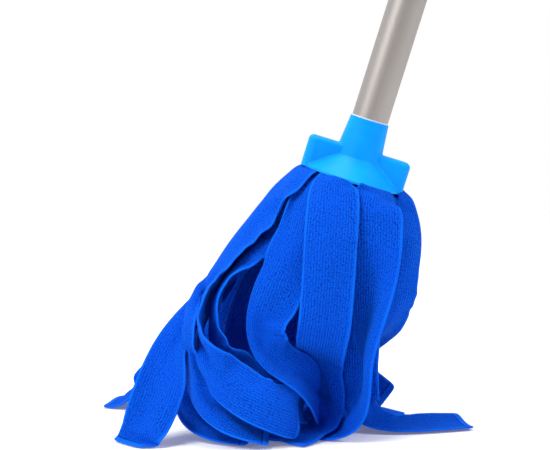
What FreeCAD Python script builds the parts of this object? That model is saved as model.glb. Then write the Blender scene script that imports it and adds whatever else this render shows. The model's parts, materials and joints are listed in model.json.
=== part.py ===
import FreeCAD, Part
import math
import os

import Sketcher
from FreeCAD import Placement, Rotation, Vector

# A strip mop: flat microfibre strips clamped between a plastic screw socket and a cone, on a
# metal tube handle that screws into the socket with a coarse right-hand thread.
#
# The row frame is +Z up with the floor at z = 0. The handle's axis passes through the origin and
# leans towards +X. Rigid pieces are drawn on an upright axis, with heights counted along that
# axis from the floor, and are then turned by the lean about Y.

document = FreeCAD.newDocument("strip_mop")
sheet = document.addObject("Spreadsheet::Sheet", "dims")

DIMENSIONS = {
    # the whole mop
    "lean_angle": 17.2,
    "rim_height": 180.0,
    # socket cap
    "collar_height": 42.0,
    "collar_top_radius": 13.3,
    "collar_base_radius": 16.0,
    "skirt_height": 15.0,
    "rim_radius": 33.0,
    "rim_lip": 1.4,
    "clamp_mouth_radius": 31.0,
    "clamp_throat_radius": 21.5,
    "clamp_ceiling": 7.7,
    "boss_radius": 6.0,
    "boss_drop": 1.0,
    "boss_root": 0.5,
    "pilot_radius": 2.15,
    "pilot_top": 9.0,
    "socket_floor": 10.7,
    "lobe_root": 11.2,
    "lobe_reach": 35.6,
    "lobe_height": 21.6,
    "lobe_width": 19.0,
    "lobe_corner": 5.5,
    "lobe_edge": 3.2,
    "seam_round": 1.8,
    "lobe_wall": 2.6,
    "lobe_hollow_start": 19.0,
    # screw thread between the cap and the handle
    "thread_pitch": 5.0,
    "bore_radius": 8.8,
    "groove_radius": 10.55,
    "groove_root_width": 3.3,
    "groove_tip_width": 1.8,
    "core_radius": 8.4,
    "crest_radius": 10.2,
    "crest_root_width": 2.7,
    "crest_tip_width": 1.2,
    "crest_start": 18.5,
    "crest_rise": 18.0,
    "thread_root": 0.4,
    "spigot_chamfer": 0.8,
    "spigot_end": 14.0,
    "spigot_bore": 5.6,
    "seat_radius": 11.8,
    "seat_depth": 1.3,
    # thread washer
    "gasket_inner_radius": 10.45,
    "gasket_outer_radius": 11.6,
    "gasket_clearance": 0.05,
    # handle
    "tube_radius": 12.5,
    "tube_wall": 0.7,
    "tube_length": 1200.0,
    "flange_thickness": 0.8,
    "plug_clearance": 0.08,
    "plug_shank": 32.0,
    "plug_bore": 8.2,
    "plug_bore_taper": 4.0,
    # hang cap
    "hang_shank": 26.0,
    "hang_body": 34.0,
    "hang_tip_radius": 8.0,
    "hang_shoulder": 9.0,
    "hang_thickness": 11.0,
    "hang_hole_radius": 4.0,
    "hang_hole_height": 21.0,
    "hang_wall": 2.2,
    "hang_web": 2.0,
    "hang_tip_flat": 1.5,
    "hang_flat_run": 4.0,
    # retainer cone
    "retainer_mouth_radius": 27.1,
    "retainer_mouth_drop": 4.8,
    "retainer_top_radius": 17.6,
    "retainer_top": 2.9,
    "retainer_wall": 2.2,
    "retainer_lip": 1.8,
    "retainer_hub_radius": 8.8,
    "retainer_floor": 2.5,
    "retainer_step": 0.8,
    "seating_gap": 0.05,
    "boss_clearance": 0.25,
    "screw_clearance": 0.2,
    # centre screw and its washer
    "screw_radius": 2.05,
    "screw_length": 12.0,
    "screw_point": 2.0,
    "screw_point_radius": 0.4,
    "screw_head_radius": 4.4,
    "screw_head_height": 2.4,
    "screw_head_taper": 1.2,
    "screw_head_edge": 1.0,
    "recess_length": 4.6,
    "recess_width": 1.0,
    "recess_depth": 1.4,
    "flat_washer_radius": 5.6,
    "flat_washer_thickness": 0.9,
    # cloth strips
    "strip_width": 36.0,
    "strip_length": 258.0,
    "strip_thickness": 1.6,
    "layer_pitch": 2.0,
    "clamp_gap": 0.3,
    "clamp_length": 11.0,
    "core_run_length": 60.0,
    "core_run_start": 24.0,
    "core_run_lap": 4.0,
    "core_run_cover": 0.05,
}

for row, (alias, value) in enumerate(DIMENSIONS.items(), start=1):
    sheet.set("A%d" % row, alias)
    sheet.set("B%d" % row, str(value))
    sheet.setAlias("B%d" % row, alias)
document.recompute()

RIM = "dims.rim_height"
TOP = "dims.rim_height + dims.collar_height"
TUBE_FOOT = TOP + " + dims.flange_thickness"
TUBE_HEAD = TUBE_FOOT + " + dims.tube_length"
RETAINER_UNDERSIDE = RIM + " - dims.boss_drop - dims.seating_gap - dims.retainer_floor"
ZERO = "0"
# how far a cut runs past the face that it opens
PAST = "1"
AXIS_TILT = Rotation(Vector(0, 1, 0), sheet.get("lean_angle"))


def size(alias):
    return float(sheet.get(alias))


def evaluate(owner, expression):
    return float(owner.evalExpression(expression))


# ---------------------------------------------------------------- drawing helpers

def origin_part(body, role):
    for feature in body.Origin.OriginFeatures:
        if feature.Role == role:
            return feature
    raise ValueError("no origin part " + role)


def new_body(label, rotation=AXIS_TILT):
    body = document.addObject("PartDesign::Body", label)
    body.Label = label
    body.Placement = Placement(Vector(0, 0, 0), rotation)
    return body


def drive(sketch, kind, corner, expression):
    """Ties one coordinate of a corner to an expression, measured from the sketch's origin."""
    value = evaluate(sketch, expression)
    if abs(value) < 1e-9:
        axis = -2 if kind == "DistanceX" else -1
        sketch.addConstraint(Sketcher.Constraint("PointOnObject", corner, 1, axis))
        return
    number = sketch.addConstraint(Sketcher.Constraint(kind, -1, 1, corner, 1, value))
    sketch.setExpression("Constraints[%d]" % number, expression)


def outline(body, label, corners, role="XZ_Plane"):
    """A closed outline on one of the body's own planes, each corner a pair of expressions."""
    sketch = body.newObject("Sketcher::SketchObject", label)
    sketch.AttachmentSupport = (origin_part(body, role), [""])
    sketch.MapMode = "FlatFace"
    places = [Vector(evaluate(sketch, x), evaluate(sketch, y), 0) for x, y in corners]
    count = len(places)
    for corner in range(count):
        side = Part.LineSegment(places[corner], places[(corner + 1) % count])
        sketch.addGeometry(side, False)
    for corner in range(count):
        after = (corner + 1) % count
        sketch.addConstraint(Sketcher.Constraint("Coincident", corner, 2, after, 1))
    for corner, (across, up) in enumerate(corners):
        drive(sketch, "DistanceX", corner, across)
        drive(sketch, "DistanceY", corner, up)
    return sketch


def revolve(body, label, corners, kind="PartDesign::Revolution"):
    """Turns an outline about the body's upright axis."""
    sketch = outline(body, label + "_outline", corners)
    feature = body.newObject(kind, label)
    feature.Profile = (sketch, [""])
    feature.ReferenceAxis = (sketch, ["V_Axis"])
    feature.Angle = 360
    sketch.Visibility = False
    document.recompute()
    return feature


def extrude(body, label, corners, width, kind="PartDesign::Pad"):
    """Pushes an outline on the XZ plane out to both sides, to a total width."""
    sketch = outline(body, label + "_outline", corners)
    feature = body.newObject(kind, label)
    feature.Profile = (sketch, [""])
    feature.SideType = "Symmetric"
    feature.setExpression("Length", width)
    sketch.Visibility = False
    document.recompute()
    return feature


def block(body, label, foot, height, near, far, width, corner, kind="PartDesign::Pad"):
    """An upright block along +X whose two far corners are rounded in plan."""
    sketch = body.newObject("Sketcher::SketchObject", label + "_plan")
    sketch.AttachmentSupport = (origin_part(body, "XY_Plane"), [""])
    sketch.MapMode = "FlatFace"
    sketch.setExpression("AttachmentOffset.Base.z", foot)
    left, right, half, round_off = (
        evaluate(sketch, near), evaluate(sketch, far),
        evaluate(sketch, width) / 2, evaluate(sketch, corner),
    )
    bend = right - round_off
    straight = half - round_off
    low_centre = Vector(bend, -straight, 0)
    high_centre = Vector(bend, straight, 0)
    up = Vector(0, 0, 1)
    quarter = math.pi / 2
    pieces = [
        Part.LineSegment(Vector(left, half, 0), Vector(left, -half, 0)),
        Part.LineSegment(Vector(left, -half, 0), Vector(bend, -half, 0)),
        Part.ArcOfCircle(Part.Circle(low_centre, up, round_off), -quarter, 0),
        Part.LineSegment(Vector(right, -straight, 0), Vector(right, straight, 0)),
        Part.ArcOfCircle(Part.Circle(high_centre, up, round_off), 0, quarter),
        Part.LineSegment(Vector(bend, half, 0), Vector(left, half, 0)),
    ]
    for piece in pieces:
        sketch.addGeometry(piece, False)
    sketch.addConstraint(Sketcher.Constraint("Coincident", 0, 2, 1, 1))
    sketch.addConstraint(Sketcher.Constraint("Coincident", 5, 2, 0, 1))
    for before in (1, 2, 3, 4):
        sketch.addConstraint(Sketcher.Constraint("Tangent", before, 2, before + 1, 1))
    sketch.addConstraint(Sketcher.Constraint("Horizontal", 1))
    sketch.addConstraint(Sketcher.Constraint("Vertical", 3))
    sketch.addConstraint(Sketcher.Constraint("Horizontal", 5))
    sketch.addConstraint(Sketcher.Constraint("Symmetric", 0, 1, 0, 2, -1))
    sketch.addConstraint(Sketcher.Constraint("Equal", 2, 4))
    for rule, expression in (
        (Sketcher.Constraint("DistanceX", -1, 1, 0, 1, left), near),
        (Sketcher.Constraint("DistanceX", -1, 1, 3, 1, right), far),
        (Sketcher.Constraint("DistanceY", 0, 2, 0, 1, half * 2), width),
        (Sketcher.Constraint("Radius", 2, round_off), corner),
    ):
        number = sketch.addConstraint(rule)
        sketch.setExpression("Constraints[%d]" % number, expression)
    document.recompute()
    feature = body.newObject(kind, label)
    feature.Profile = (sketch, [""])
    feature.setExpression("Length", height)
    if kind == "PartDesign::Pocket":
        feature.Reversed = True
    sketch.Visibility = False
    document.recompute()
    return feature


def repeat_around(body, label, features, count):
    pattern = body.newObject("PartDesign::PolarPattern", label)
    pattern.Originals = features
    pattern.Axis = (origin_part(body, "Z_Axis"), [""])
    pattern.Angle = 360
    pattern.Occurrences = count
    body.Tip = pattern
    document.recompute()
    return pattern


def round_edges(body, label, radius, wanted):
    """Rounds those edges of the body's present shape that the test picks out."""
    base = body.Tip
    names = []
    for number, edge in enumerate(base.Shape.Edges, start=1):
        if wanted(edge):
            names.append("Edge%d" % number)
    if not names:
        raise ValueError("no edges to round for " + label)
    feature = body.newObject("PartDesign::Fillet", label)
    feature.Base = (base, names)
    feature.setExpression("Radius", radius)
    document.recompute()
    return feature


def thread(body, label, kind, radius, tip_radius, root_width, tip_width, start, rise):
    """A trapezoid tooth or groove swept along a right-hand helix."""
    middle = RIM + " + " + start
    corners = [
        (radius, middle + " - %s / 2" % root_width),
        (tip_radius, middle + " - %s / 2" % tip_width),
        (tip_radius, middle + " + %s / 2" % tip_width),
        (radius, middle + " + %s / 2" % root_width),
    ]
    sketch = outline(body, label + "_outline", corners)
    feature = body.newObject(kind, label)
    feature.Profile = (sketch, [""])
    feature.ReferenceAxis = (sketch, ["V_Axis"])
    feature.Mode = 0
    feature.setExpression("Pitch", "dims.thread_pitch")
    feature.setExpression("Height", rise)
    feature.LeftHanded = False
    sketch.Visibility = False
    document.recompute()
    return feature


# ---------------------------------------------------------------- socket cap

def make_socket_cap():
    """Collar, flared skirt and two hollow lobes, with an internal thread and a screw boss."""
    body = new_body("socket_cap")
    revolve(body, "collar_and_skirt", [
        (ZERO, TOP),
        ("dims.collar_top_radius", TOP),
        ("dims.collar_base_radius", RIM + " + dims.skirt_height"),
        ("dims.rim_radius", RIM + " + dims.rim_lip"),
        ("dims.rim_radius", RIM),
        (ZERO, RIM),
    ])
    lobe = block(body, "lobe", RIM, "dims.lobe_height", "dims.lobe_root", "dims.lobe_reach",
                 "dims.lobe_width", "dims.lobe_corner")
    repeat_around(body, "lobes", [lobe], 2)
    revolve(body, "throat", [
        (ZERO, RIM + " - " + PAST),
        ("dims.clamp_mouth_radius", RIM + " - " + PAST),
        ("dims.clamp_mouth_radius", RIM),
        ("dims.clamp_throat_radius", RIM + " + dims.clamp_ceiling"),
        (ZERO, RIM + " + dims.clamp_ceiling"),
    ], "PartDesign::Groove")
    lobe_top = size("rim_height") + size("lobe_height")

    def lobe_top_edge_height(box):
        return abs(box.ZMin - lobe_top) < 0.01 and abs(box.ZMax - lobe_top) < 0.01

    def lobe_top_edge(edge):
        box = edge.BoundBox
        level = lobe_top_edge_height(box)
        far = max(abs(box.Center.x), abs(box.Center.y)) > size("lobe_hollow_start")
        return level and far

    def seam_edge(edge):
        """Where a lobe meets the skirt or the collar, and where the collar meets the skirt."""
        box = edge.BoundBox
        if edge.Curve.TypeId == "Part::GeomHyperbola":
            return True
        level = box.ZLength < 0.01
        flare = abs(box.ZMin - size("rim_height") - size("skirt_height")) < 0.01
        near = max(abs(box.Center.x), abs(box.Center.y)) < size("collar_base_radius")
        on_lobe_top = lobe_top_edge_height(box) and box.DiagonalLength < size("rim_radius")
        round_arc = edge.Curve.TypeId == "Part::GeomCircle"
        return level and round_arc and near and (flare or on_lobe_top)

    round_edges(body, "seams", "dims.seam_round", seam_edge)
    round_edges(body, "lobe_tops", "dims.lobe_edge", lobe_top_edge)
    hollow = block(
        body, "lobe_hollow", RIM, "dims.lobe_height - dims.lobe_wall",
        "dims.lobe_hollow_start", "dims.lobe_reach - dims.lobe_wall",
        "dims.lobe_width - 2 * dims.lobe_wall", "dims.lobe_corner - dims.lobe_wall",
        "PartDesign::Pocket",
    )
    repeat_around(body, "lobe_hollows", [hollow], 2)
    revolve(body, "boss", [
        (ZERO, RIM + " + dims.clamp_ceiling + dims.boss_root"),
        ("dims.boss_radius", RIM + " + dims.clamp_ceiling + dims.boss_root"),
        ("dims.boss_radius", RIM + " - dims.boss_drop"),
        (ZERO, RIM + " - dims.boss_drop"),
    ])
    revolve(body, "pilot_hole", [
        (ZERO, RIM + " - dims.boss_drop - " + PAST),
        ("dims.pilot_radius", RIM + " - dims.boss_drop - " + PAST),
        ("dims.pilot_radius", RIM + " + dims.pilot_top"),
        (ZERO, RIM + " + dims.pilot_top"),
    ], "PartDesign::Groove")
    revolve(body, "socket_bore", [
        (ZERO, RIM + " + dims.socket_floor"),
        ("dims.bore_radius", RIM + " + dims.socket_floor"),
        ("dims.bore_radius", TOP + " - dims.seat_depth"),
        ("dims.seat_radius", TOP + " - dims.seat_depth"),
        ("dims.seat_radius", TOP + " + " + PAST),
        (ZERO, TOP + " + " + PAST),
    ], "PartDesign::Groove")
    thread(
        body, "internal_thread", "PartDesign::SubtractiveHelix",
        "dims.bore_radius - dims.thread_root", "dims.groove_radius",
        "dims.groove_root_width", "dims.groove_tip_width",
        # one pitch below the tooth
        "dims.crest_start - dims.thread_pitch",
        "dims.collar_height - dims.crest_start + dims.thread_pitch * 2",
    )
    return body


# ---------------------------------------------------------------- handle

def make_thread_plug():
    """Shank that fills the tube's foot, a thin flange, and a hollow threaded spigot."""
    body = new_body("thread_plug")
    shank = "dims.tube_radius - dims.tube_wall - dims.plug_clearance"
    spigot = RIM + " + dims.spigot_end"
    revolve(body, "plug_body", [
        ("dims.spigot_bore", spigot),
        ("dims.core_radius - dims.spigot_chamfer", spigot),
        ("dims.core_radius", spigot + " + dims.spigot_chamfer"),
        ("dims.core_radius", TOP),
        ("dims.tube_radius", TOP),
        ("dims.tube_radius", TUBE_FOOT),
        (shank, TUBE_FOOT),
        (shank, TUBE_FOOT + " + dims.plug_shank"),
        ("dims.plug_bore", TUBE_FOOT + " + dims.plug_shank"),
        ("dims.plug_bore", TUBE_FOOT),
        ("dims.spigot_bore", TOP + " - dims.plug_bore_taper"),
    ])
    thread(
        body, "external_thread", "PartDesign::AdditiveHelix",
        "dims.core_radius - dims.thread_root", "dims.crest_radius",
        "dims.crest_root_width", "dims.crest_tip_width",
        "dims.crest_start", "dims.crest_rise",
    )
    return body


def make_thread_washer():
    """Thin rubber ring that sits in the socket's mouth, under the plug's flange."""
    body = new_body("thread_washer")
    low = TOP + " - dims.seat_depth + dims.gasket_clearance"
    high = TOP + " - dims.gasket_clearance"
    revolve(body, "washer_ring", [
        ("dims.gasket_inner_radius", low),
        ("dims.gasket_outer_radius", low),
        ("dims.gasket_outer_radius", high),
        ("dims.gasket_inner_radius", high),
    ])
    return body


def make_handle_tube():
    body = new_body("handle_tube")
    revolve(body, "tube_wall", [
        ("dims.tube_radius - dims.tube_wall", TUBE_FOOT),
        ("dims.tube_radius", TUBE_FOOT),
        ("dims.tube_radius", TUBE_HEAD),
        ("dims.tube_radius - dims.tube_wall", TUBE_HEAD),
    ])
    return body


def make_hang_cap():
    """Plug for the tube's top, with a flattened head and a hanging hole through it along Y."""
    body = new_body("hang_cap")
    shank = "dims.tube_radius - dims.tube_wall - dims.plug_clearance"
    revolve(body, "cap_body", [
        (shank + " - dims.hang_wall", TUBE_HEAD + " - dims.hang_shank"),
        (shank, TUBE_HEAD + " - dims.hang_shank"),
        (shank, TUBE_HEAD),
        ("dims.tube_radius", TUBE_HEAD),
        ("dims.tube_radius", TUBE_HEAD + " + dims.hang_shoulder"),
        ("dims.hang_tip_radius", TUBE_HEAD + " + dims.hang_body"),
        (ZERO, TUBE_HEAD + " + dims.hang_body"),
        (ZERO, TUBE_HEAD + " + dims.hang_web"),
        (shank + " - dims.hang_wall", TUBE_HEAD + " - dims.hang_web"),
    ])
    head = evaluate(body, TUBE_HEAD)

    def tip_edge(edge):
        return edge.BoundBox.ZMin > head + size("hang_body") - 0.1

    def shoulder_edge(edge):
        box = edge.BoundBox
        return box.ZLength < 0.1 and abs(box.Center.z - head - size("hang_shoulder")) < 0.1

    round_edges(body, "tip_round", "dims.hang_tip_radius - dims.hang_tip_flat", tip_edge)
    round_edges(body, "shoulder_round", "dims.hang_shoulder", shoulder_edge)
    face = "dims.hang_thickness / 2"
    beyond = "dims.tube_radius + " + PAST
    over_tip = TUBE_HEAD + " + dims.hang_body + " + PAST
    for side, sign in (("front", ""), ("back", "-")):
        sketch = outline(body, side + "_flat_outline", [
            (sign + "(%s)" % face, TUBE_HEAD + " + dims.hang_shoulder + dims.hang_flat_run"),
            (sign + "(%s)" % beyond, TUBE_HEAD + " + dims.hang_shoulder - " + PAST),
            (sign + "(%s)" % beyond, over_tip),
            (sign + "(%s)" % face, over_tip),
        ], "YZ_Plane")
        pocket = body.newObject("PartDesign::Pocket", side + "_flat")
        pocket.Profile = (sketch, [""])
        pocket.SideType = "Symmetric"
        pocket.setExpression("Length", "dims.tube_radius * 2 + 2 * " + PAST)
        sketch.Visibility = False
        document.recompute()
    sketch = body.newObject("Sketcher::SketchObject", "hanging_hole_outline")
    sketch.AttachmentSupport = (origin_part(body, "XZ_Plane"), [""])
    sketch.MapMode = "FlatFace"
    middle = TUBE_HEAD + " + dims.hang_hole_height"
    centre = Vector(0, evaluate(sketch, middle), 0)
    sketch.addGeometry(Part.Circle(centre, Vector(0, 0, 1), size("hang_hole_radius")), False)
    sketch.addConstraint(Sketcher.Constraint("PointOnObject", 0, 3, -2))
    height = sketch.addConstraint(Sketcher.Constraint("DistanceY", -1, 1, 0, 3, centre.y))
    sketch.setExpression("Constraints[%d]" % height, middle)
    radius = sketch.addConstraint(Sketcher.Constraint("Radius", 0, size("hang_hole_radius")))
    sketch.setExpression("Constraints[%d]" % radius, "dims.hang_hole_radius")
    hole = body.newObject("PartDesign::Pocket", "hanging_hole")
    hole.Profile = (sketch, [""])
    hole.SideType = "Symmetric"
    hole.setExpression("Length", "dims.tube_radius * 2 + 2 * " + PAST)
    sketch.Visibility = False
    document.recompute()
    return body


# ---------------------------------------------------------------- clamp

def make_retainer_cone():
    """Cupped cone that presses the strips up against the cap's inner cone."""
    body = new_body("retainer_cone")
    floor = RIM + " - dims.boss_drop - dims.seating_gap"
    under = RETAINER_UNDERSIDE
    mouth = RIM + " - dims.retainer_mouth_drop"
    top = RIM + " + dims.retainer_top"
    revolve(body, "cone", [
        ("dims.screw_radius + dims.screw_clearance", floor),
        ("dims.boss_radius + dims.boss_clearance", floor),
        ("dims.boss_radius + dims.boss_clearance", top),
        ("dims.retainer_top_radius", top),
        ("dims.retainer_mouth_radius", mouth),
        ("dims.retainer_mouth_radius", mouth + " - dims.retainer_lip"),
        ("dims.retainer_mouth_radius - dims.retainer_wall", mouth + " - dims.retainer_lip"),
        ("dims.retainer_top_radius - dims.retainer_step", top + " - dims.retainer_wall"),
        ("dims.retainer_hub_radius", top + " - dims.retainer_wall"),
        ("dims.retainer_hub_radius", under),
        ("dims.screw_radius + dims.screw_clearance", under),
    ])
    return body


def make_screw_washer():
    body = new_body("screw_washer")
    top = RETAINER_UNDERSIDE
    low = top + " - dims.flat_washer_thickness"
    revolve(body, "flat_ring", [
        ("dims.screw_radius + dims.screw_clearance", low),
        ("dims.flat_washer_radius", low),
        ("dims.flat_washer_radius", top),
        ("dims.screw_radius + dims.screw_clearance", top),
    ])
    return body


def make_centre_screw():
    """Pan-head self-tapping screw with a cross recess, driven up into the cap's boss."""
    body = new_body("centre_screw")
    seat = RETAINER_UNDERSIDE + " - dims.flat_washer_thickness"
    low = seat + " - dims.screw_head_height"
    tip = seat + " + dims.screw_length"
    revolve(body, "shank_and_head", [
        (ZERO, low),
        ("dims.screw_head_radius - dims.screw_head_taper", low),
        ("dims.screw_head_radius", low + " + dims.screw_head_edge"),
        ("dims.screw_head_radius", seat),
        ("dims.screw_radius", seat),
        ("dims.screw_radius", tip + " - dims.screw_point"),
        ("dims.screw_point_radius", tip),
        (ZERO, tip),
    ])
    slot = extrude(body, "recess_slot", [
        ("-dims.recess_length / 2", low + " - " + PAST),
        ("dims.recess_length / 2", low + " - " + PAST),
        ("dims.recess_length / 2", low),
        ("dims.recess_width / 2", low + " + dims.recess_depth"),
        ("-dims.recess_width / 2", low + " + dims.recess_depth"),
        ("-dims.recess_length / 2", low),
    ], "dims.recess_width", "PartDesign::Pocket")
    repeat_around(body, "cross_recess", [slot], 4)
    return body


# ---------------------------------------------------------------- cloth strips
#
# Every strip lies on one of three nested bell surfaces that run from the clamp, down round the
# axis and out along the floor. A bell is drawn as a curve of radius against height. It is tight
# on the right and front, where the strips hang, and wide on the left and back, where they trail.

STRIP_WIDTH = size("strip_width")
STRIP_LENGTH = size("strip_length")
HALF_THICKNESS = size("strip_thickness") / 2
RIM_HEIGHT = size("rim_height")
LEAN = math.radians(size("lean_angle"))
FULL_TILT_HEIGHT = 165.0
WIDE_SIDE = math.radians(150.0)
SECTIONS = 36
ACROSS = 5
SAMPLES = 240

# radius on the tight side, radius on the wide side, height
BELL = [
    (47, 47, 162),
    (60, 62, 143),
    (63, 75, 114),
    (59, 85, 83),
    (50, 94, 50),
    (45, 102, 16),
    (53, 113, HALF_THICKNESS),
    (78, 132, HALF_THICKNESS),
    (104, 152, HALF_THICKNESS),
    (142, 182, HALF_THICKNESS),
]

# The core strip hangs inside the others and turns in under the axis. Its last stretch is a flat
# block, which gives the mop a plane face on the floor. The hanging stretch stops inside it.
CORE_COVER = size("core_run_cover")
CORE_LEVEL = HALF_THICKNESS + CORE_COVER
CORE = [
    (40, 40, 165),
    (44, 44, 142),
    (42, 42, 106),
    (40, 40, 70),
    (39, 39, 35),
    (37, 37, 8),
    (30, 30, CORE_LEVEL),
    (24, 24, CORE_LEVEL),
    (17, 17, CORE_LEVEL),
    (10, 10, CORE_LEVEL),
]

# Where each ring's strips leave the clamp, in degrees about the axis, and how far each turns on
# its way down. -90 is the front, 0 the right.
OUTER_START = -111.0
OUTER_TURNS = [14, 8, 2, 2, 12, 24, 36]
MIDDLE_TURNS = [6, 4, 0, 6, 18, 30, 26]
INNER_START = 162.0
INNER_TURNS = [16, 10, 6, 4]
CORE_AZIMUTH = 90.0
CORE_ROUNDING = 20.0
# a strip turns between these shares of its run
TURN_FROM = 0.3
TURN_OVER = 0.6
# the share of a ring's spacing that a gathered strip fills, and the radius where it is full width
GATHERED_SHARE = 0.88
FULL_WIDTH_RADIUS = 70.0
# the core strip flattens out between these heights
CORE_FLAT_BELOW = 60.0
CORE_ROUND_ABOVE = 140.0
# where the clamped stretch's four poles stand, in clamp lengths out from the cap's mouth
CLAMP_SHARES = (-1.0, -0.62, -0.15, 0.38)


def smooth(value):
    value = max(0.0, min(1.0, value))
    return value * value * (3 - 2 * value)


def clamp_poles():
    """The straight stretch between the cap's cone and the retainer, for the innermost layer."""
    mouth = (size("clamp_mouth_radius"), RIM_HEIGHT)
    throat = (size("clamp_throat_radius"), RIM_HEIGHT + size("clamp_ceiling"))
    length = math.hypot(mouth[0] - throat[0], mouth[1] - throat[1])
    along = ((mouth[0] - throat[0]) / length, (mouth[1] - throat[1]) / length)
    inward = (along[1], -along[0])
    depth = size("clamp_gap") + HALF_THICKNESS + 2 * size("layer_pitch")
    poles = []
    for share in CLAMP_SHARES:
        run = share * size("clamp_length")
        poles.append((
            mouth[0] + along[0] * run + inward[0] * depth,
            mouth[1] + along[1] * run + inward[1] * depth,
        ))
    return poles


CLAMP = clamp_poles()


def bell_curve(poles, azimuth):
    """The bell's outline at one azimuth, in (radius, height), for the innermost layer."""
    wide = 0.5 + 0.5 * math.cos(azimuth - WIDE_SIDE)
    points = [Vector(radius, height, 0) for radius, height in CLAMP]
    for tight_radius, wide_radius, height in poles:
        points.append(Vector(tight_radius + (wide_radius - tight_radius) * wide, height, 0))
    curve = Part.BSplineCurve()
    curve.buildFromPoles(points, False, 3)
    return curve


def bell_point(poles, azimuth, step, offset):
    """Radius and height at a step from 0 to 1, moved outwards by an offset."""
    curve = bell_curve(poles, azimuth)
    place = curve.FirstParameter + step * (curve.LastParameter - curve.FirstParameter)
    point = curve.value(place)
    tangent = curve.tangent(place)[0]
    return point.x - tangent.y * offset, point.y + tangent.x * offset


def to_row(radius, azimuth, height, sideways=0.0):
    """Takes a place on a bell to the row frame, leaning with the axis and flat on the floor."""
    tilt = LEAN * smooth(height / FULL_TILT_HEIGHT)
    centre = Vector(math.sin(LEAN), 0, math.cos(LEAN)) * height
    outwards = Vector(math.cos(azimuth), math.sin(azimuth), 0)
    across = Vector(-math.sin(azimuth), math.cos(azimuth), 0)
    around = outwards * radius + across * sideways
    return centre + Rotation(Vector(0, 1, 0), math.degrees(tilt)).multVec(around)


def strip_half_width(radius, room):
    """Gathered where the clamp leaves little room, and full width further out."""
    gathered = abs(radius) * math.sin(room / 2)
    full = STRIP_WIDTH / 2
    return min(full, gathered) if radius < FULL_WIDTH_RADIUS else full


def strip_point(poles, start, turn, room, step, across, offset):
    turned = start + turn * smooth((step - TURN_FROM) / TURN_OVER)
    radius, height = bell_point(poles, turned, step, offset)
    half = strip_half_width(radius, room)
    azimuth = turned + across * half / radius
    radius, height = bell_point(poles, azimuth, step, offset)
    return to_row(radius, azimuth, height)


def core_point(poles, start, turn, room, step, across, offset):
    """Like strip_point, but it flattens out on its way down, so it can cross the axis."""
    radius, height = bell_point(poles, start, step, offset)
    curved = smooth((height - CORE_FLAT_BELOW) / (CORE_ROUND_ABOVE - CORE_FLAT_BELOW))
    rounding = max(radius, CORE_ROUNDING)
    half = STRIP_WIDTH / 2 + curved * (strip_half_width(rounding, room) - STRIP_WIDTH / 2)
    angle = across * half / rounding
    drop = curved * rounding * (1 - math.cos(angle))
    sideways = curved * rounding * math.sin(angle) + (1 - curved) * across * half
    return to_row(radius - drop, start, height, sideways)


def even_steps(point_at, length, count):
    """Steps at which the strip's middle line has run equal shares of its length."""
    travelled = 0.0
    before = point_at(0.0)
    steps = [0.0]
    for sample in range(1, SAMPLES + 1):
        here = point_at(sample / SAMPLES)
        stride = (here - before).Length
        while len(steps) <= count and travelled + stride >= length * len(steps) / count:
            share = (length * len(steps) / count - travelled) / stride
            steps.append((sample - 1 + share) / SAMPLES)
        travelled += stride
        before = here
    if len(steps) <= count:
        raise ValueError("the bell is shorter than the strip")
    return steps


def smooth_surface(grid):
    """A surface through a grid of points, with even knots because the points are evenly spaced."""
    surface = Part.BSplineSurface()
    surface.interpolate(grid)
    return surface


def closed_between(under, over):
    """Joins two faces along their four edges into one solid."""
    first_u, last_u, first_v, last_v = under.bounds()
    pairs = [(under.uIso(bound), over.uIso(bound)) for bound in (first_u, last_u)]
    pairs += [(under.vIso(bound), over.vIso(bound)) for bound in (first_v, last_v)]
    sides = [Part.makeRuledSurface(low.toShape(), high.toShape()) for low, high in pairs]
    shell = Part.makeShell([under.toShape(), over.toShape()] + sides)
    shell.sewShape()
    solid = Part.makeSolid(shell)
    if solid.Volume < 0:
        solid.reverse()
    return solid


def make_strip(label, poles, start, turn, room, layer, place=strip_point, length=STRIP_LENGTH):
    """A closed solid between two smooth faces, one half-thickness each side of the bell."""
    start = math.radians(start)
    turn = math.radians(turn)
    room = math.radians(room)
    offset = layer * size("layer_pitch")
    steps = even_steps(
        lambda step: place(poles, start, turn, room, step, 0, offset), length, SECTIONS
    )
    faces = []
    for side in (-HALF_THICKNESS, HALF_THICKNESS):
        grid = []
        for step in steps:
            grid.append([
                place(poles, start, turn, room, step, 2 * column / (ACROSS - 1) - 1, offset + side)
                for column in range(ACROSS)
            ])
        faces.append(smooth_surface(grid))
    solid = closed_between(*faces)
    feature = document.addObject("Part::Feature", label)
    feature.Label = label
    feature.Shape = solid
    feature.Placement = Placement()
    return feature


def make_core_strip(room):
    """The innermost strip: a hanging stretch, and a flat stretch that crosses the axis."""
    hanging = make_strip(
        "core_strip_drop", CORE, CORE_AZIMUTH, 0, room, 0, core_point,
        STRIP_LENGTH - size("core_run_length") + size("core_run_lap"),
    )
    run = document.addObject("Part::Box", "core_strip_run")
    run.Label = "core_strip_run"
    wide = "(dims.strip_width + 12 * dims.core_run_cover)"
    run.setExpression("Length", wide)
    run.setExpression("Width", "dims.core_run_length")
    run.setExpression("Height", "dims.strip_thickness + 2 * dims.core_run_cover")
    run.setExpression("Placement.Base.x", "-%s / 2" % wide)
    run.setExpression("Placement.Base.y", "dims.core_run_start - dims.core_run_length")
    joined = document.addObject("Part::Fuse", "core_strip")
    joined.Label = "core_strip"
    joined.Base = hanging
    joined.Tool = run
    document.recompute()
    return joined


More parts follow.
